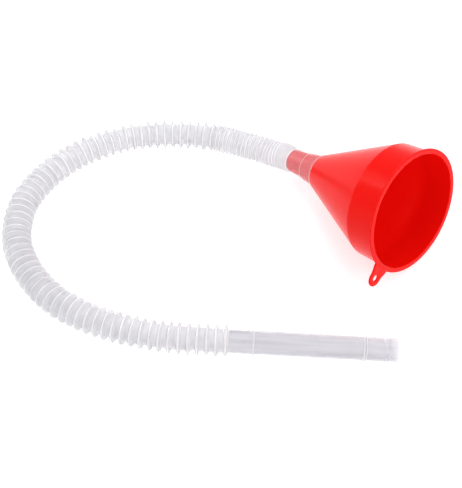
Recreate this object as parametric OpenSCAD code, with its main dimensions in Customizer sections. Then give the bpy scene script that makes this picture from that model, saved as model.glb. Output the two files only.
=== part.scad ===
// Filling funnel with a pull-off corrugated hose, lying on a table.
// The table is z = 0. The funnel rests on the end of its band and on its hose, mouth towards +X,
// and the origin is under the middle of the funnel's own box.

/* [Mouth] */
// Outside diameter of the flat lip round the mouth
lip_d = 135; // [110:1:165]
// Width of the flat lip, from its outside edge to the inside of the mouth
lip_w = 5.5; // [4:0.5:9]
// Thickness of the lip
lip_t = 2; // [1.5:0.1:3]
// Wall of the whole funnel
wall = 2; // [1.2:0.1:2.5]
// Depth of the nearly straight band below the lip
band_depth = 35; // [20:1:50]
// How much the band's radius narrows over its depth
band_taper = 1.5; // [0:0.1:5]

/* [Cone] */
// Depth from the front of the lip to the small end of the cone
cone_depth = 127.5; // [105:0.5:160]
// Outside diameter of the cone's small end
cone_end_d = 40; // [39:0.5:56]

/* [Spout] */
// Length of the spout beyond the cone
spout_len = 42.5; // [34:0.5:60]
// Distance along the spout from the cone to the seat ring
seat_at = 19; // [12:0.5:26]
// Outside diameter of the spout where it leaves the cone
spout_root_d = 36.4; // [31:0.1:37]
// Outside diameter of the spout just before the seat ring
spout_seat_d = 29.8; // [28.5:0.1:31]
// Height of the seat ring's step
seat_step = 0.6; // [0.3:0.1:0.9]
// Outside diameter of the spout's open end
spout_end_d = 25; // [22:0.1:27]
// Wall of the spout
spout_wall = 1.6; // [1.2:0.1:2]

/* [Hanging tab] */
// Width of the tab's round end
tab_w = 18.5; // [14:0.5:24]
// Width of the tab where it meets the lip
tab_root_w = 25; // [20:0.5:34]
// How far the tab reaches beyond the lip
tab_reach = 20.5; // [16:0.5:30]
// Thickness of the tab
tab_t = 2; // [1.5:0.1:2]
// Diameter of the hole in the tab
tab_hole_d = 6.5; // [4:0.5:9]
// Where the tab sits round the lip, from the lip's lowest point
tab_angle = 58; // [45:1:90]

/* [Hose cuff] */
// Wall of the cuff
cuff_wall = 1.1; // [0.8:0.1:1.6]
// Gap between the cuff and the spout that it is pushed on to
cuff_gap = 0.1; // [0.05:0.05:0.2]
// Gap between the cuff's mouth and the cone
cuff_end_gap = 0.3; // [0.2:0.1:1]
// Length of the plain shoulder between the spout's end and the first ring
shoulder_len = 12; // [9:0.5:20]
// Outside diameter of the shoulder
shoulder_d = 30.4; // [28:0.1:31.5]

/* [Hose] */
// Outside diameter of the hose over its rings
hose_d = 32; // [30:0.5:36]

/* [Nozzle] */
// Outside diameter of the plain nozzle
nozzle_d = 23.6; // [20:0.1:26]
// Wall of the nozzle
nozzle_wall = 1.2; // [0.8:0.1:2]
// Length of the nozzle
nozzle_len = 166; // [145:1:200]
// Distance from the last ring to the first bead
bead_1_at = 24; // [10:1:40]
// Distance from the nozzle's tip to the stop bead
bead_2_from_tip = 32; // [24:1:50]
// Height of the beads
bead_h = 1.7; // [0.8:0.1:2.4]
// Width of one bead
bead_w = 2; // [1.5:0.1:4]

/* [Pose on the table] */
// Height of the middle of the spout's end above the table
spout_end_z = 24; // [22:0.5:30]

/* [Hidden] */
$fn = 128;

lip_r = lip_d / 2;
band_top_r = lip_r - lip_w + wall;
band_end_r = band_top_r - band_taper;
cone_end_r = cone_end_d / 2;
spout_root_r = spout_root_d / 2;
spout_seat_r = spout_seat_d / 2;
spout_end_r = spout_end_d / 2;
funnel_len = cone_depth + spout_len;
seat_depth = cone_depth + seat_at;
tab_r = tab_w / 2;
tab_mid_r = lip_r + tab_reach - tab_r;
hose_r = hose_d / 2;
bead_r = nozzle_d / 2 + bead_h;
nozzle_bore_d = nozzle_d - 2 * nozzle_wall;

// How far the funnel is tipped when a ring of radius r, at distance len from the spout's end,
// touches the table
function tip(r, len) = atan2(r, len) - asin(spout_end_z / norm([r, len]));
// It comes down until its lip or the end of its band touches, whichever is first.
tilt = max(tip(lip_r, funnel_len - lip_t), tip(band_end_r, funnel_len - band_depth));

// The middle of the spout's end, placed so that the funnel's box is centred over the origin.
low_x = -spout_end_r * sin(tilt);
high_x = funnel_len * cos(tilt) + lip_r * sin(tilt);
tab_side = tab_mid_r * sin(tab_angle) + tab_r;
spout_end = [-(low_x + high_x) / 2, (tab_side - lip_r) / 2, spout_end_z];

// The hose's route: x and y from the middle of the spout's end, then height above its resting height.
// The first point is worked out, where the shoulder ends.
route_start = [-shoulder_len * cos(tilt), 0, spout_end_z - shoulder_len * sin(tilt) - hose_r];
ROUTE = [
    route_start, [-28, -3, 1], [-44, -8, 0], [-60, -15, 0], [-76, -22, 0], [-91, -30, 0],
    [-106, -40, 0], [-120, -51, 0], [-133, -63, 0], [-145, -76, 0], [-156, -90, 0],
    [-166, -105, 0], [-174, -121, 0], [-180, -138, 0], [-185, -156, 0], [-187, -174, 0],
    [-187, -192, 0], [-185, -210, 0], [-181, -227, 0], [-175, -244, 0], [-166, -259, 0],
    [-154, -273, 0], [-141, -285, 0], [-126, -295, 0], [-109, -302, 0], [-92, -307, 0],
    [-74, -310, 0], [-56, -311, 0], [-38, -310, 0], [-21, -306, 0], [-4, -301, 0],
    [13, -294, 0], [29, -286, 0], [45, -277, 0], [60, -267, 0], [74, -257, 0],
    [88, -245, 0], [102, -233, 0], [117, -220, 0]
];
last = len(ROUTE) - 1;
// Route points where one section of the hose ends and the next begins, on the bends' axes.
SPLITS = [0, 4, 14, 22, 30, last];
nozzle_heading = 42;
// The nozzle slopes down until its stop bead touches the table.
nozzle_slope = asin((hose_r - bead_r) / (nozzle_len - bead_2_from_tip));
nozzle_dir = [cos(nozzle_slope) * cos(nozzle_heading), cos(nozzle_slope) * sin(nozzle_heading),
              -sin(nozzle_slope)];
spout_dir = [-cos(tilt), 0, -sin(tilt)];

HOSE_SIDES = 12;
// Gap between one section of the hose and the next
section_gap = 0.1;

function place(i) = [spout_end[0] + ROUTE[i][0], spout_end[1] + ROUTE[i][1], hose_r + ROUTE[i][2]];
function unit(v) = v / norm(v);
// Direction of the hose at a route point
function heading(i) =
    i == 0 ? spout_dir :
    i == last ? nozzle_dir :
    unit(unit(place(i + 1) - place(i)) + unit(place(i) - place(i - 1)));
// Corners of the hose's section at a route point, moved along the hose by shift
function ring(i, shift) =
    let (t = heading(i), side = unit(cross([0, 0, 1], t)), up = cross(t, side))
    [for (k = [0 : HOSE_SIDES - 1])
        place(i) + shift * t
        + hose_r * (cos(360 * k / HOSE_SIDES) * side + sin(360 * k / HOSE_SIDES) * up)];

// Puts what is drawn along +Z, from the lip's front at z = 0 downwards, on to the tipped funnel.
module on_funnel() {
    translate(spout_end)
    rotate([0, 90 - tilt, 0])
    translate([0, 0, funnel_len])
    children();
}

// The moulded shell: lip, band, cone and spout in one wall
module funnel_shell() {
    rotate_extrude()
    polygon([
        [lip_r, 0],
        [lip_r, -lip_t],
        [band_top_r, -lip_t],
        [band_end_r, -band_depth],
        [cone_end_r, -cone_depth],
        [spout_root_r, -cone_depth],
        [spout_seat_r, -seat_depth],
        [spout_seat_r - seat_step, -seat_depth],
        [spout_end_r, -funnel_len],
        [spout_end_r - spout_wall, -funnel_len],
        [spout_seat_r - seat_step - spout_wall, -seat_depth],
        [spout_root_r - spout_wall, -cone_depth],
        [cone_end_r - wall, -cone_depth + wall],
        [band_end_r - wall, -band_depth + wall / 2],
        [lip_r - lip_w, 0]
    ]);
}

// The tab's outline: wide at the lip, with a round end
module tab_plate() {
    translate([0, 0, -tab_t]) {
        linear_extrude(tab_t)
        polygon([
            [lip_r - lip_w / 2, -tab_root_w / 2],
            [lip_r + wall, -tab_root_w / 2 + wall],
            [tab_mid_r, -tab_r],
            [tab_mid_r, tab_r],
            [lip_r + wall, tab_root_w / 2 - wall],
            [lip_r - lip_w / 2, tab_root_w / 2]
        ]);
        translate([tab_mid_r, 0, 0])
        cylinder(r = tab_r, h = tab_t);
    }
}

module funnel() {
    color("#e8261e")
    on_funnel()
    difference() {
        union() {
            funnel_shell();
            rotate([0, 0, -tab_angle])
            tab_plate();
        }
        rotate([0, 0, -tab_angle])
        translate([tab_mid_r, 0, -tab_t - 1])
        cylinder(d = tab_hole_d, h = tab_t + 2);
    }
}

// The clear cuff follows the spout with a small gap, then steps out to the plain shoulder.
module hose_cuff() {
    root_r = spout_root_r + cuff_gap;
    seat_r = spout_seat_r + cuff_gap;
    neck_r = seat_r - seat_step;
    end_r = spout_end_r + cuff_gap;
    shoulder_r = shoulder_d / 2;
    mouth_z = -cone_depth - cuff_end_gap;
    color("#d9d4dc", 0.6)
    on_funnel()
    rotate_extrude()
    polygon([
        [root_r, mouth_z],
        [root_r + cuff_wall, mouth_z],
        [seat_r + cuff_wall, -seat_depth - cuff_wall],
        [neck_r + cuff_wall, -seat_depth - cuff_wall],
        [end_r + cuff_wall, -funnel_len],
        [shoulder_r, -funnel_len - shoulder_len / 3],
        [shoulder_r, -funnel_len - shoulder_len],
        [shoulder_r - cuff_wall, -funnel_len - shoulder_len],
        [shoulder_r - cuff_wall, -funnel_len - shoulder_len / 3],
        [end_r, -funnel_len],
        [neck_r, -seat_depth],
        [seat_r, -seat_depth]
    ]);
}

// One section of the hose: the outer shape over the rings, from one split to the next
module hose_section(n) {
    a = SPLITS[n - 1];
    b = SPLITS[n];
    rings = b - a + 1;
    start_gap = a == 0 ? 0 : section_gap / 2;
    end_gap = b == last ? 0 : section_gap / 2;
    corners = [for (i = [a : b]) each ring(i, i == a ? start_gap : i == b ? -end_gap : 0)];
    sides = [
        for (i = [0 : rings - 2], k = [0 : HOSE_SIDES - 1])
        let (p = i * HOSE_SIDES + k, q = i * HOSE_SIDES + (k + 1) % HOSE_SIDES)
        each [[p, p + HOSE_SIDES, q], [q, p + HOSE_SIDES, q + HOSE_SIDES]]
    ];
    start_cap = [for (k = [0 : HOSE_SIDES - 1]) k];
    end_cap = [for (k = [HOSE_SIDES - 1 : -1 : 0]) (rings - 1) * HOSE_SIDES + k];
    color("#dedbe1", 0.6)
    polyhedron(points = corners, faces = concat(sides, [start_cap, end_cap]));
}

module hose_section_1() { hose_section(1); }
module hose_section_2() { hose_section(2); }
module hose_section_3() { hose_section(3); }
module hose_section_4() { hose_section(4); }
module hose_section_5() { hose_section(5); }

// A raised bead round the nozzle, its middle at z
module bead(z) {
    translate([0, 0, z - bead_w / 2])
    cylinder(r1 = nozzle_d / 2, r2 = bead_r, h = bead_w / 4);
    translate([0, 0, z - bead_w / 4])
    cylinder(r = bead_r, h = bead_w / 2);
    translate([0, 0, z + bead_w / 4])
    cylinder(r1 = bead_r, r2 = nozzle_d / 2, h = bead_w / 4);
}

module hose_nozzle() {
    color("#dedbe1", 0.6)
    translate(place(last))
    rotate([0, 90 + nozzle_slope, nozzle_heading])
    difference() {
        union() {
            cylinder(d = nozzle_d, h = nozzle_len);
            bead(bead_1_at);
            bead(nozzle_len - bead_2_from_tip);
        }
        translate([0, 0, -1])
        cylinder(d = nozzle_bore_d, h = nozzle_len + 2);
    }
}

funnel();
hose_cuff();
hose_section_1();
hose_section_2();
hose_section_3();
hose_section_4();
hose_section_5();
hose_nozzle();
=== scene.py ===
"""Filling funnel with its corrugated hose: how each moulding looks, on top of the CAD frame."""
import math

import bpy
from mathutils import Matrix, Vector


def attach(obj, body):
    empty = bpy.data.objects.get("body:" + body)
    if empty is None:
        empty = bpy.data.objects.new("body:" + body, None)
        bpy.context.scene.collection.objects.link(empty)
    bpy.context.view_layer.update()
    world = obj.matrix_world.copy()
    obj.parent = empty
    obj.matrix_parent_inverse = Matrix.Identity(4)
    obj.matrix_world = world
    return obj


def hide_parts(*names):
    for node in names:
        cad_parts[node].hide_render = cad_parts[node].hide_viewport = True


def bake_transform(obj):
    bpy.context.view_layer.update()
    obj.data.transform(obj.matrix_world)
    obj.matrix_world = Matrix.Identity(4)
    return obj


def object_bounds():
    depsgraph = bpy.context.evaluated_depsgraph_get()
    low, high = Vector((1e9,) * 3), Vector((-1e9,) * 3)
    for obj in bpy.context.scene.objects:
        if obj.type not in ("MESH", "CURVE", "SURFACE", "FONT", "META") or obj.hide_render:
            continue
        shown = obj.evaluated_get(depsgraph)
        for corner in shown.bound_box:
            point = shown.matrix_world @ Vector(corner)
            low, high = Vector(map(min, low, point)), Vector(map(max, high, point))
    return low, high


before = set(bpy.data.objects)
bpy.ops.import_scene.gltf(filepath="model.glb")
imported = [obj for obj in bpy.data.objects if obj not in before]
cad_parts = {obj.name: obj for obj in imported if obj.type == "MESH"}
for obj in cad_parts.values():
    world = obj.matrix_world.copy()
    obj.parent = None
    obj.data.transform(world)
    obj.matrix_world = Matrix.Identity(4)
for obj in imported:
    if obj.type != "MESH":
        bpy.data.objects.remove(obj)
cad_low, cad_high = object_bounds()
MM = 0.001

# ---------------------------------------------------------------- sizes
# In millimetres, and the same as in the part's source. A radius is of the outside, unless it is a
# hole's, and a depth counts from the front of the lip.
lip_r = 67.5
lip_w = 5.5             # from the lip's edge to the inside of the mouth
lip_t = 2.0
wall = 2.0              # of the band and the cone
band_top_r = 64.0
band_end_r = 62.5
band_depth = 35.0
cone_end_r = 20.0
cone_depth = 127.5
spout_root_r = 18.2
spout_seat_r = 14.9     # just before the seat ring's step
spout_end_r = 12.5
spout_wall = 1.6
seat_step = 0.6
seat_depth = 146.5
funnel_len = 170.0
spout_end_z = 24.0      # height of the middle of the spout's end above the table

tab_r = 9.25            # of the tab's round end
tab_root = 12.5         # half the tab's width at the lip
tab_mid_r = 78.75       # from the funnel's axis to the middle of the tab's hole
tab_t = 2.0
tab_hole_r = 3.25
tab_angle = 58.0        # round the lip from its lowest point, in degrees

cuff_wall = 1.1
cuff_gap = 0.1          # between the cuff and the spout
cuff_end_gap = 0.3      # between the cuff's mouth and the cone
shoulder_len = 12.0
shoulder_r = 15.2

hose_r = 16.0           # over the high rings
nozzle_r = 11.8
nozzle_wall = 1.2
nozzle_len = 166.0
nozzle_heading = math.radians(42)
bead_1_at = 24.0        # from the last stretch of hose
bead_2_at = 134.0
bead_h = 1.7

# The hose's wall and rings, which its plain solids in the CAD model leave out. Places along the
# hose count from the end of the shoulder.
hose_wall = 0.9
tube_r = 11.8           # between the high rings
fine_r = 15.6           # over the close rings
fine_pitch = 4.7
fine_start = 4.0
fine_end = 88.6
step_r = 14.2           # where the hose steps down from the close rings to its tube
step_len = 2.4
step_end = fine_end + 3
wide_count = 64
wide_first = 93.0       # middle of the first high ring
wide_last = 678.0
wide_pitch = (wide_last - wide_first) / (wide_count - 1)
crest_flat = 0.6        # half the flat top of a high ring
crest_slope = 2.0       # width of each of its flanks


def tip(r, length):
    """How far the funnel is tipped when a ring of that radius, so far from the spout's end, touches."""
    return math.atan2(r, length) - math.asin(spout_end_z / math.hypot(r, length))


tilt = max(tip(lip_r, funnel_len - lip_t), tip(band_end_r, funnel_len - band_depth))
spout_end = Vector((
    (spout_end_r * math.sin(tilt) - funnel_len * math.cos(tilt) - lip_r * math.sin(tilt)) / 2,
    (tab_mid_r * math.sin(math.radians(tab_angle)) + tab_r - lip_r) / 2,
    spout_end_z,
))
# Local Z runs out of the mouth from the lip's front, and local X points down the lip.
on_funnel = (
    Matrix.Translation(spout_end * MM)
    @ Matrix.Rotation(math.pi / 2 - tilt, 4, "Y")
    @ Matrix.Translation((0, 0, funnel_len * MM))
)

# ---------------------------------------------------------------- camera
view_azimuth = math.radians(45)
view_height = math.radians(51.15)
view_distance = 1.1053
# Where the view is aimed on the table, in metres from under the middle of the object.
aim_x, aim_y = -0.0007, 0.0073
middle = (cad_low + cad_high) / 2
aim = Vector((middle.x + aim_x, middle.y + aim_y, 0))
towards = Vector((
    math.sin(view_azimuth) * math.cos(view_height),
    -math.cos(view_azimuth) * math.cos(view_height),
    math.sin(view_height),
))
camera = bpy.data.objects.new("camera", bpy.data.cameras.new("camera"))
bpy.context.scene.collection.objects.link(camera)
camera.data.lens = 75.09
camera.data.sensor_width = 36
camera.data.clip_end = 20
camera.location = aim + towards * view_distance
camera.rotation_mode = "QUATERNION"
camera.rotation_quaternion = (-towards).to_track_quat("-Z", "Y")
bpy.context.scene.camera = camera


# ---------------------------------------------------------------- finishes
def linear(hex_colour):
    """An sRGB hex colour as linear red, green, blue and 1."""
    parts = [int(hex_colour[i:i + 2], 16) / 255 for i in (1, 3, 5)]
    return [c / 12.92 if c <= 0.04045 else ((c + 0.055) / 1.055) ** 2.4 for c in parts] + [1.0]


def add(tree, kind, settings=None, links=None):
    """A node of that kind, with values for its sockets or properties, and links into its sockets."""
    node = tree.nodes.new(kind)
    for name, value in (settings or {}).items():
        if isinstance(name, int) or name in node.inputs:
            node.inputs[name].default_value = value
        else:
            setattr(node, name, value)
    for name, source in (links or {}).items():
        tree.links.new(source, node.inputs[name])
    return node


def finish_named(name, colour, settings):
    """A new material with one shader in it, which takes the colour and the settings."""
    material = bpy.data.materials.new(name)
    material.use_nodes = True
    tree = material.node_tree
    tree.nodes.clear()
    shader = add(tree, "ShaderNodeBsdfPrincipled", {"Base Color": linear(colour), **settings})
    add(tree, "ShaderNodeOutputMaterial", None, {"Surface": shader.outputs["BSDF"]})
    return material, tree, shader


def red_polypropylene():
    """Injection-moulded polypropylene, dyed red right through: glossy, with a faint orange peel,
    flow streaks and fine handling scuffs. A noise's scale is its number of waves per metre."""
    material, tree, shader = finish_named("red_polypropylene", "#F21309", {
        "IOR": 1.49, "Specular IOR Level": 0.1,
    })
    place = add(tree, "ShaderNodeTexCoord")
    # Flow streaks in the dye, about 45 mm apart.
    streaks = add(tree, "ShaderNodeTexNoise", {"Scale": 22.0, "Detail": 3.0},
                  {"Vector": place.outputs["Object"]})
    dye = add(tree, "ShaderNodeMix", {"data_type": "RGBA", 6: linear("#EC0C06"), 7: linear("#F7140A")},
              {0: streaks.outputs["Fac"]})
    tree.links.new(dye.outputs[2], shader.inputs["Base Color"])
    # Scuffs 0.4 to 0.7 mm across and 3 mm long, which dull the shine where they lie closest.
    stretch = add(tree, "ShaderNodeMapping",
                  {"Scale": (300.0, 2500.0, 1500.0), "Rotation": (0.5, 0.3, 0.9)},
                  {"Vector": place.outputs["Object"]})
    scuffs = add(tree, "ShaderNodeTexNoise", {"Scale": 1.0, "Detail": 2.0},
                 {"Vector": stretch.outputs["Vector"]})
    shine = add(tree, "ShaderNodeMapRange",
                {"From Min": 0.45, "From Max": 0.8, "To Min": 0.19, "To Max": 0.27},
                {"Value": scuffs.outputs["Fac"]})
    tree.links.new(shine.outputs["Result"], shader.inputs["Roughness"])
    # Orange peel with bumps of 2 mm.
    peel = add(tree, "ShaderNodeTexNoise", {"Scale": 500.0, "Detail": 1.0},
               {"Vector": place.outputs["Object"]})
    bump = add(tree, "ShaderNodeBump", {"Strength": 0.03, "Distance": 0.0003},
               {"Height": peel.outputs["Fac"]})
    tree.links.new(bump.outputs["Normal"], shader.inputs["Normal"])
    return material


def milky_polyethylene(name, alpha, dull, bright, rough, grain=(60.0, 60.0, 60.0)):
    """Blow-moulded low-density polyethylene: milky and see-through, whiter where more of it lies
    in the line of sight, with soft shine, a cloudy tint and a faint ripple from the mould. The
    grain gives the cloud's waves per metre along the nozzle, across it and upwards."""
    material, tree, shader = finish_named(name, bright, {
        "IOR": 1.51, "Roughness": rough, "Alpha": alpha, "Subsurface Weight": 1.0,
        "Subsurface Scale": 0.004, "Subsurface Radius": (1.0, 1.0, 1.0),
    })
    place = add(tree, "ShaderNodeTexCoord")
    turned_place = add(tree, "ShaderNodeMapping",
                       {"vector_type": "TEXTURE", "Rotation": (0, 0, nozzle_heading)},
                       {"Vector": place.outputs["Object"]})
    stretched = add(tree, "ShaderNodeMapping", {"Scale": grain},
                    {"Vector": turned_place.outputs["Vector"]})
    cloud = add(tree, "ShaderNodeTexNoise", {"Scale": 1.0, "Detail": 3.0},
                {"Vector": stretched.outputs["Vector"]})
    spread = add(tree, "ShaderNodeMapRange", {"From Min": 0.3, "From Max": 0.7},
                 {"Value": cloud.outputs["Fac"]})
    milk = add(tree, "ShaderNodeMix", {"data_type": "RGBA", 6: linear(dull), 7: linear(bright)},
               {0: spread.outputs["Result"]})
    tree.links.new(milk.outputs[2], shader.inputs["Base Color"])
    # Ripples about 3 mm apart.
    ripple = add(tree, "ShaderNodeTexNoise", {"Scale": 350.0, "Detail": 2.0},
                 {"Vector": place.outputs["Object"]})
    bump = add(tree, "ShaderNodeBump", {"Strength": 0.06, "Distance": 0.0004},
               {"Height": ripple.outputs["Fac"]})
    tree.links.new(bump.outputs["Normal"], shader.inputs["Normal"])
    return material


red = red_polypropylene()
hose_plastic = milky_polyethylene("milky_polyethylene", 0.33, "#D9D8DB", "#E8E7EA", 0.2)
# Drawn out along the nozzle, so its cloud is streaks 200 mm long and 8 mm across.
nozzle_plastic = milky_polyethylene(
    "milky_polyethylene_drawn", 0.4, "#BFBEC5", "#E4E3E7", 0.2, grain=(5.0, 130.0, 130.0),
)
cuff_plastic = milky_polyethylene("milky_polyethylene_thin", 0.15, "#D6D5DA", "#E4E3E8", 0.2)
# A whiter, more opaque milk, painted on the ring crests, the high beads and the cuff's rims as highlight
# lines.
highlight_plastic = milky_polyethylene("milky_polyethylene_painted_highlight", 0.42, "#F7F6F9", "#FFFFFF", 0.25)


# ---------------------------------------------------------------- mesh helpers
def piece(name, verts, faces, materials, place=None):
    """A smooth-shaded piece from points and faces in metres, with edges over 35 degrees kept crisp."""
    mesh = bpy.data.meshes.new(name)
    mesh.from_pydata([tuple(v) for v in verts], [], faces)
    mesh.transform(place or Matrix.Identity(4))
    mesh.validate()
    mesh.shade_smooth()
    mesh.set_sharp_from_angle(angle=math.radians(35))
    for material in materials:
        mesh.materials.append(material)
    obj = bpy.data.objects.new(name, mesh)
    bpy.context.scene.collection.objects.link(obj)
    return obj


def softened(corners, steps=4):
    """An outline with each corner cut back and rounded: corners are (radius, height, cut)."""
    out = []
    for i, (r, z, cut) in enumerate(corners):
        here = Vector((r, z))
        if cut == 0:
            out.append(here)
            continue
        before = Vector(corners[i - 1][:2]) - here
        after = Vector(corners[(i + 1) % len(corners)][:2]) - here
        # A cut takes less than half of either side, so that two neighbours never meet.
        a = here + before.normalized() * min(cut, before.length * 0.45)
        b = here + after.normalized() * min(cut, after.length * 0.45)
        for k in range(steps + 1):
            t = k / steps
            out.append(a * (1 - t) ** 2 + here * 2 * t * (1 - t) + b * t * t)
    return out


def turned(name, outline, sides, materials, place):
    """A closed outline of (radius, height) turned round Z."""
    verts, faces, n = [], [], len(outline)
    for k in range(sides):
        a = 2 * math.pi * k / sides
        verts += [(p[0] * math.cos(a) * MM, p[0] * math.sin(a) * MM, p[1] * MM) for p in outline]
    for k in range(sides):
        q = (k + 1) % sides
        faces += [(k * n + i, q * n + i, q * n + (i + 1) % n, k * n + (i + 1) % n) for i in range(n)]
    return piece(name, verts, faces, materials, place)


def smooth(x):
    """0 up to x = 0, 1 from x = 1, and an even curve between them."""
    x = min(max(x, 0.0), 1.0)
    return x * x * (3 - 2 * x)


# ---------------------------------------------------------------- the hose's line
# From the middle of the spout's end, and the height above the height at which the hose lies.
ROUTE = [
    (-28, -3, 1), (-44, -8, 0), (-60, -15, 0), (-76, -22, 0), (-91, -30, 0), (-106, -40, 0),
    (-120, -51, 0), (-133, -63, 0), (-145, -76, 0), (-156, -90, 0), (-166, -105, 0),
    (-174, -121, 0), (-180, -138, 0), (-185, -156, 0), (-187, -174, 0), (-187, -192, 0),
    (-185, -210, 0), (-181, -227, 0), (-175, -244, 0), (-166, -259, 0), (-154, -273, 0),
    (-141, -285, 0), (-126, -295, 0), (-109, -302, 0), (-92, -307, 0), (-74, -310, 0),
    (-56, -311, 0), (-38, -310, 0), (-21, -306, 0), (-4, -301, 0), (13, -294, 0), (29, -286, 0),
    (45, -277, 0), (60, -267, 0), (74, -257, 0), (88, -245, 0), (102, -233, 0), (117, -220, 0),
]
spout_dir = Vector((-math.cos(tilt), 0, -math.sin(tilt)))
# The nozzle slopes down until its second bead touches the table.
nozzle_slope = math.asin((hose_r - nozzle_r - bead_h) / bead_2_at)
nozzle_dir = Vector((
    math.cos(nozzle_slope) * math.cos(nozzle_heading),
    math.cos(nozzle_slope) * math.sin(nozzle_heading),
    -math.sin(nozzle_slope),
))
knots = [spout_end + spout_dir * shoulder_len]
knots += [Vector((spout_end.x + x, spout_end.y + y, hose_r + z)) for x, y, z in ROUTE]


def hose_line(steps=24):
    """The hose's middle line as close points, a smooth curve through the route's points."""
    ways = [(b - a).normalized() for a, b in zip(knots, knots[1:])]
    turns = [spout_dir] + [(a + b).normalized() for a, b in zip(ways, ways[1:])] + [nozzle_dir]
    out = []
    for i, (a, b) in enumerate(zip(knots, knots[1:])):
        size = (b - a).length
        for k in range(steps):
            t = k / steps
            out.append(
                a * (2 * t ** 3 - 3 * t * t + 1) + b * (3 * t * t - 2 * t ** 3)
                + turns[i] * size * (t ** 3 - 2 * t * t + t) + turns[i + 1] * size * (t ** 3 - t * t)
            )
    return out + [knots[-1]]


line = hose_line()
along = [0.0]
for a, b in zip(line, line[1:]):
    along.append(along[-1] + (b - a).length)
hose_len = along[-1]


def spot(s):
    """Point and direction on the hose's line, s millimetres from its start."""
    s = min(max(s, 0.0), hose_len)
    low, high = 0, len(along) - 1
    while high - low > 1:
        mid = (low + high) // 2
        low, high = (mid, high) if along[mid] <= s else (low, mid)
    t = (s - along[low]) / (along[high] - along[low])
    way = line[high] - line[low]
    if 0 < low and high < len(line) - 1:
        a, b = line[high] - line[low - 1], line[high + 1] - line[low]
        way = a.normalized() * (1 - t) + b.normalized() * t
    elif low == 0:
        way = spout_dir * (1 - t) + way.normalized() * t
    else:
        way = way.normalized() * (1 - t) + nozzle_dir * t
    return line[low].lerp(line[high], t), way.normalized()


# ---------------------------------------------------------------- the hose's rings
def off_ring(s):
    """How far s is from the middle of the nearest high ring."""
    nearest = min(max(round((s - wide_first) / wide_pitch), 0), wide_count - 1)
    return abs(s - wide_first - wide_pitch * nearest)


def fine_radius(s, first_depth=0.5, last_depth=1.5, over=30, sharpness=1.6):
    """Outside radius over the close rings, whose grooves deepen over their first 30 mm. The crests
    are a little sharper than a wave's, and the first groove comes in softly."""
    depth = first_depth + (last_depth - first_depth) * smooth((s - fine_start) / over)
    wave = 0.5 - 0.5 * math.cos(2 * math.pi * (s - fine_start) / fine_pitch)
    return fine_r - depth * (1 - wave ** sharpness) * smooth((s - fine_start + 1.5) / 3)


def rings_radius(s):
    """Outside radius of the hose at s: a plain start, close shallow rings, then wide-set high rings."""
    if s <= fine_start:
        return shoulder_r + (fine_r - shoulder_r) * smooth(s / fine_start)
    if s <= fine_end:
        return fine_radius(s)
    if s <= step_end:
        return tube_r + (step_r - tube_r) * (1 - smooth((s - fine_end) / step_len))
    return tube_r + (hose_r - tube_r) * (1 - smooth((off_ring(s) - crest_flat) / crest_slope))


def on_crest(s, fine_half=0.5, wide_half=0.7):
    """Whether s is on the top of a ring, where a highlight line is painted in a whiter milk."""
    if s < fine_start:
        return False
    if s <= fine_end:
        return abs((s - fine_start) % fine_pitch - fine_pitch / 2) < fine_half
    return off_ring(s) < wide_half


def ring_stops(a, b, fine_stops=180, step_stops=7, flank_stops=8):
    """Where the hose gets a loop of points between a and b: close together on each ring."""
    stops = {a, b}
    stops |= {fine_end * k / fine_stops for k in range(fine_stops + 1)}
    stops |= {fine_end + k * 0.4 for k in range(1, step_stops + 1)}
    for ring in range(wide_count):
        middle = wide_first + ring * wide_pitch
        stops |= {
            middle + (crest_flat + crest_slope) * k / flank_stops
            for k in range(-flank_stops, flank_stops + 1)
        }
        stops.add(middle + wide_pitch / 2)
    return sorted(s for s in stops if a <= s <= b)


def hose_piece(name, a, b, sides=44):
    """The hose's wall from a to b, outside and inside, with closed ends."""
    stops = ring_stops(a, b)
    verts, faces, path, n = [], [], [], len(stops)
    for skin in (0.0, hose_wall):
        for s in stops:
            middle, way = spot(s)
            side = Vector((0, 0, 1)).cross(way).normalized()
            up = way.cross(side)
            r = rings_radius(s) - skin
            if skin == 0.0:
                path.append(tuple(middle * MM))
            verts += [
                (middle + side * r * math.cos(2 * math.pi * k / sides)
                 + up * r * math.sin(2 * math.pi * k / sides)) * MM
                for k in range(sides)
            ]
    inner = n * sides
    for i in range(n - 1):
        for k in range(sides):
            p, q = i * sides + k, i * sides + (k + 1) % sides
            faces.append((p, q, q + sides, p + sides))
            faces.append((inner + q, inner + p, inner + p + sides, inner + q + sides))
    for k in range(sides):
        q, end = (k + 1) % sides, (n - 1) * sides
        faces.append((q, k, inner + k, inner + q))
        faces.append((end + k, end + q, inner + end + q, inner + end + k))
    obj = piece(name, verts, faces, [hose_plastic, highlight_plastic])
    # Faces on the ring crests get the painted highlight.
    for i in range(n - 1):
        if on_crest((stops[i] + stops[i + 1]) / 2):
            for k in range(sides):
                obj.data.polygons[2 * (i * sides + k)].material_index = 1
    return obj, path


# The hose is made in four lengths. Each cut lies half way between two of the high rings, after
# this many of them.
cut_after = [8, 24, 40]
cuts = [0.0] + [wide_first + wide_pitch * (n - 0.5) for n in cut_after] + [hose_len]
stands_for = [
    ["hose_section_1", "hose_section_2"], ["hose_section_3"], ["hose_section_4"], ["hose_section_5"],
]
lengths = []
for i, (a, b) in enumerate(zip(cuts, cuts[1:])):
    obj, path = hose_piece("corrugated_hose_%d" % (i + 1), a, b)
    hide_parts(*stands_for[i])
    lengths.append((obj, path, a, b))

# ---------------------------------------------------------------- nozzle
on_nozzle = (
    Matrix.Translation(knots[-1] * MM) @ nozzle_dir.to_track_quat("Z", "Y").to_matrix().to_4x4()
)


def bead(z, height, width):
    """A raised ring on the nozzle's outline, seen along the outline from the tip back."""
    return [(nozzle_r, z + width, 0.3), (nozzle_r + height, z + width / 2, 0.3),
            (nozzle_r + height, z - width / 2, 0.3), (nozzle_r, z - width, 0.3)]


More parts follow.
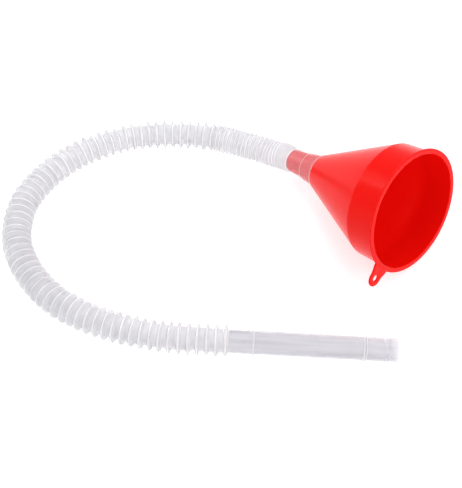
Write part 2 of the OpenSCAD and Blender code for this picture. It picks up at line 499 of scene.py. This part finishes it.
# The raised rings from the tip back, each with its place, height and width: two low ones near the
# tip, the double stop bead, two faint marks of the mould, and the single bead.
raised_rings = [
    (157, 0.35, 0.8), (153.5, 0.35, 0.8),
    (bead_2_at + 1.3, bead_h, 0.7), (bead_2_at - 1.3, bead_h, 0.7),
    (88.5, 0.15, 0.6), (85.5, 0.15, 0.6),
    (bead_1_at, bead_h, 0.9),
]
bore_r = nozzle_r - nozzle_wall
nozzle_outline = [(nozzle_r, nozzle_len, 0.5)]
for z, height, width in raised_rings:
    nozzle_outline += bead(z, height, width)
nozzle_outline += [(nozzle_r, 0, 0), (bore_r, 0, 0), (bore_r, nozzle_len, 0.4)]
nozzle = turned("nozzle", softened(nozzle_outline, 3), 72, [nozzle_plastic, highlight_plastic], on_nozzle)
# The high beads get a painted highlight: a whiter, more opaque milk than the rest.
highlight_over = 0.6
to_nozzle = on_nozzle.inverted()
for face in nozzle.data.polygons:
    if (to_nozzle @ face.center).xy.length / MM > nozzle_r + highlight_over:
        face.material_index = 1
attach(nozzle, "nozzle_end")
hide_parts("hose_nozzle")

# ---------------------------------------------------------------- cuff
root_r = spout_root_r + cuff_gap
seat_r = spout_seat_r + cuff_gap
neck_r = seat_r - seat_step
end_r = spout_end_r + cuff_gap
mouth_z = -cone_depth - cuff_end_gap
rim_r = root_r + cuff_wall + 0.35
inside_r = shoulder_r - hose_wall
taper_end_z = -funnel_len - shoulder_len / 3
shoulder_end_z = -funnel_len - shoulder_len
cuff_outline = softened([
    (root_r, mouth_z, 0.2),
    (rim_r, mouth_z, 0.3),
    (rim_r, mouth_z - 1.1, 0.3),
    (root_r + cuff_wall - 0.2, mouth_z - 1.8, 0.5),
    (seat_r + cuff_wall, -seat_depth + 0.6, 0.3),
    (seat_r + cuff_wall + 0.2, -seat_depth - 0.4, 0.3),
    (neck_r + cuff_wall, -seat_depth - cuff_wall, 0.4),
    (end_r + cuff_wall, -funnel_len + 1.0, 0.3),
    (end_r + cuff_wall + 0.3, -funnel_len, 0.3),
    (shoulder_r, taper_end_z, 1.5),
    (shoulder_r, shoulder_end_z, 0),
    (inside_r, shoulder_end_z, 0),
    (inside_r, taper_end_z, 1.2),
    (end_r, -funnel_len, 0.3),
    (neck_r, -seat_depth, 0.2),
    (seat_r, -seat_depth, 0.2),
], 4)
cuff = turned("hose_cuff_skin", cuff_outline, 128, [cuff_plastic, highlight_plastic, hose_plastic], on_funnel)
# The rim, the seat ring and the ring at the spout's end get a painted highlight in a whiter milk, and the
# shoulder is as the hose.
edges = [
    (mouth_z - 1.3, mouth_z),
    (-seat_depth - 0.9, -seat_depth + 0.4),
    (-funnel_len - 0.6, -funnel_len + 0.6),
]
to_local = on_funnel.inverted()
for face in cuff.data.polygons:
    height = (to_local @ face.center).z / MM
    if any(a <= height <= b for a, b in edges):
        face.material_index = 1
    elif height < edges[-1][0]:
        face.material_index = 2
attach(cuff, "hose_start")
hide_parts("hose_cuff")

# ---------------------------------------------------------------- hose lengths
for i, (obj, path, a, b) in enumerate(lengths):
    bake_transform(obj)

# ---------------------------------------------------------------- funnel
funnel_outline = softened([
    (lip_r, 0, 0.7),
    (lip_r, -lip_t, 0.7),
    (band_top_r, -lip_t, 0.8),
    (band_end_r, -band_depth, 1.2),
    (cone_end_r, -cone_depth, 0.8),
    (spout_root_r, -cone_depth, 0.3),
    (spout_seat_r, -seat_depth, 0.2),
    (spout_seat_r - seat_step, -seat_depth, 0.2),
    (spout_end_r, -funnel_len, 0.5),
    (spout_end_r - spout_wall, -funnel_len, 0.5),
    (spout_seat_r - seat_step - spout_wall, -seat_depth, 0.5),
    (spout_root_r - spout_wall, -cone_depth, 2.0),
    (cone_end_r - wall, -cone_depth + wall, 2.0),
    (band_end_r - wall, -band_depth + wall / 2, 6.0),
    (lip_r - lip_w, 0, 0.8),
], 6)
funnel = turned("red_funnel", funnel_outline, 192, [red], on_funnel)


def tab_outline(sweep_steps=10, end_steps=24, root_steps=16):
    """The tab's edge, anticlockwise: a broad root that sweeps into parallel sides and a round end."""
    # The root is sunk 1.5 mm into the lip's edge.
    root_x = lip_r - 1.5
    sweep = []
    for k in range(sweep_steps + 1):
        t = k / sweep_steps
        half = tab_r + (tab_root - tab_r) * (1 - smooth(t * 1.1))
        sweep.append((root_x + t * (tab_mid_r - root_x), -half))
    end = []
    for k in range(1, end_steps):
        a = -math.pi / 2 + math.pi * k / end_steps
        end.append((tab_mid_r + tab_r * math.cos(a), tab_r * math.sin(a)))
    root = [(root_x, tab_root * (1 - 2 * k / root_steps)) for k in range(1, root_steps)]
    return sweep + end + [(x, -y) for x, y in reversed(sweep)] + root


def tab_piece():
    """The hanging tab: a flat plate, a little thinner than the lip, with rounded edges and a round hole."""
    edge = tab_outline()
    n = len(edge)
    centre = Vector((tab_mid_r, 0))
    top, under = -0.1, -tab_t + 0.1
    # How the edges are rounded: so far in from the side, and so far from the plate's face.
    outer_round = [(0.5, 0), (0.25, 0.08), (0.08, 0.25), (0, 0.5)]
    hole_round = [(0.4, 0), (0.12, 0.12), (0, 0.4)]
    loops = []
    outer = [(inset, under + z) for inset, z in outer_round]
    outer += [(inset, top - z) for inset, z in reversed(outer_round)]
    for inset, z in outer:
        loop = []
        for i, p in enumerate(edge):
            along_edge = (Vector(edge[(i + 1) % n]) - Vector(edge[i - 1])).normalized()
            at = Vector(p) + Vector((-along_edge.y, along_edge.x)) * inset
            loop.append((at.x, at.y, z))
        loops.append(loop)
    ways = [(Vector(p) - centre).normalized() for p in edge]
    hole = [(wider, top - z) for wider, z in hole_round]
    hole += [(wider, under + z) for wider, z in reversed(hole_round)]
    for wider, z in hole:
        r = tab_hole_r + wider
        loops.append([(centre.x + way.x * r, centre.y + way.y * r, z) for way in ways])
    verts, faces = [], []
    for j, loop in enumerate(loops):
        verts += [Vector(p) * MM for p in loop]
        here, after = j * n, (j + 1) % len(loops) * n
        faces += [(here + i, here + (i + 1) % n, after + (i + 1) % n, after + i) for i in range(n)]
    on_lip = on_funnel @ Matrix.Rotation(math.radians(-tab_angle), 4, "Z")
    return piece("hanging_tab", verts, faces, [red], on_lip)


tab = tab_piece()
for obj in (funnel, tab):
    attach(obj, "funnel")
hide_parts("funnel")

# ---------------------------------------------------------------- floor and light
# A matt light table of white acrylic, lit evenly from within, so that shadows on it stay faint.
floor_material, floor_tree, floor_shader = finish_named("pale_table", "#CFCFD0", {
    "Roughness": 0.6, "Emission Color": linear("#FFFFFF"), "Emission Strength": 0.62,
})
floor_grain = add(floor_tree, "ShaderNodeTexNoise", {"Scale": 30.0, "Detail": 2.0})
floor_shine = add(floor_tree, "ShaderNodeMapRange", {"To Min": 0.55, "To Max": 0.65},
                  {"Value": floor_grain.outputs["Fac"]})
floor_tree.links.new(floor_shine.outputs["Result"], floor_shader.inputs["Roughness"])
# Half the floor's width, in metres.
far = 12
floor_corners = [(-far, -far, 0), (far, -far, 0), (far, far, 0), (-far, far, 0)]
floor = piece("table_top", floor_corners, [(0, 1, 2, 3)], [floor_material])

world = bpy.data.worlds.new("studio")
world.use_nodes = True
world.node_tree.nodes["Background"].inputs["Color"].default_value = linear("#FBFBFF")
world.node_tree.nodes["Background"].inputs["Strength"].default_value = 0.74
bpy.context.scene.world = world
bpy.context.scene.view_settings.view_transform = "Standard"


def softbox(name, place, aim_at, size, power):
    """A square soft light that looks at a point, with its size in metres and its power in watts."""
    light = bpy.data.lights.new(name, "AREA")
    light.shape, light.size, light.energy = "SQUARE", size, power
    obj = bpy.data.objects.new(name, light)
    bpy.context.scene.collection.objects.link(obj)
    obj.location = place
    obj.rotation_mode = "QUATERNION"
    obj.rotation_quaternion = (Vector(aim_at) - Vector(place)).to_track_quat("-Z", "Y")


softbox("top_softbox", (-0.5, 0.3, 1.7), (-0.05, -0.1, 0), 0.8, 9)
softbox("left_softbox", (-1.5, -0.3, 0.7), (-0.05, -0.1, 0.03), 0.6, 4)
softbox("right_softbox", (1.5, 0.1, 0.9), (0.05, -0.05, 0.05), 0.6, 7)
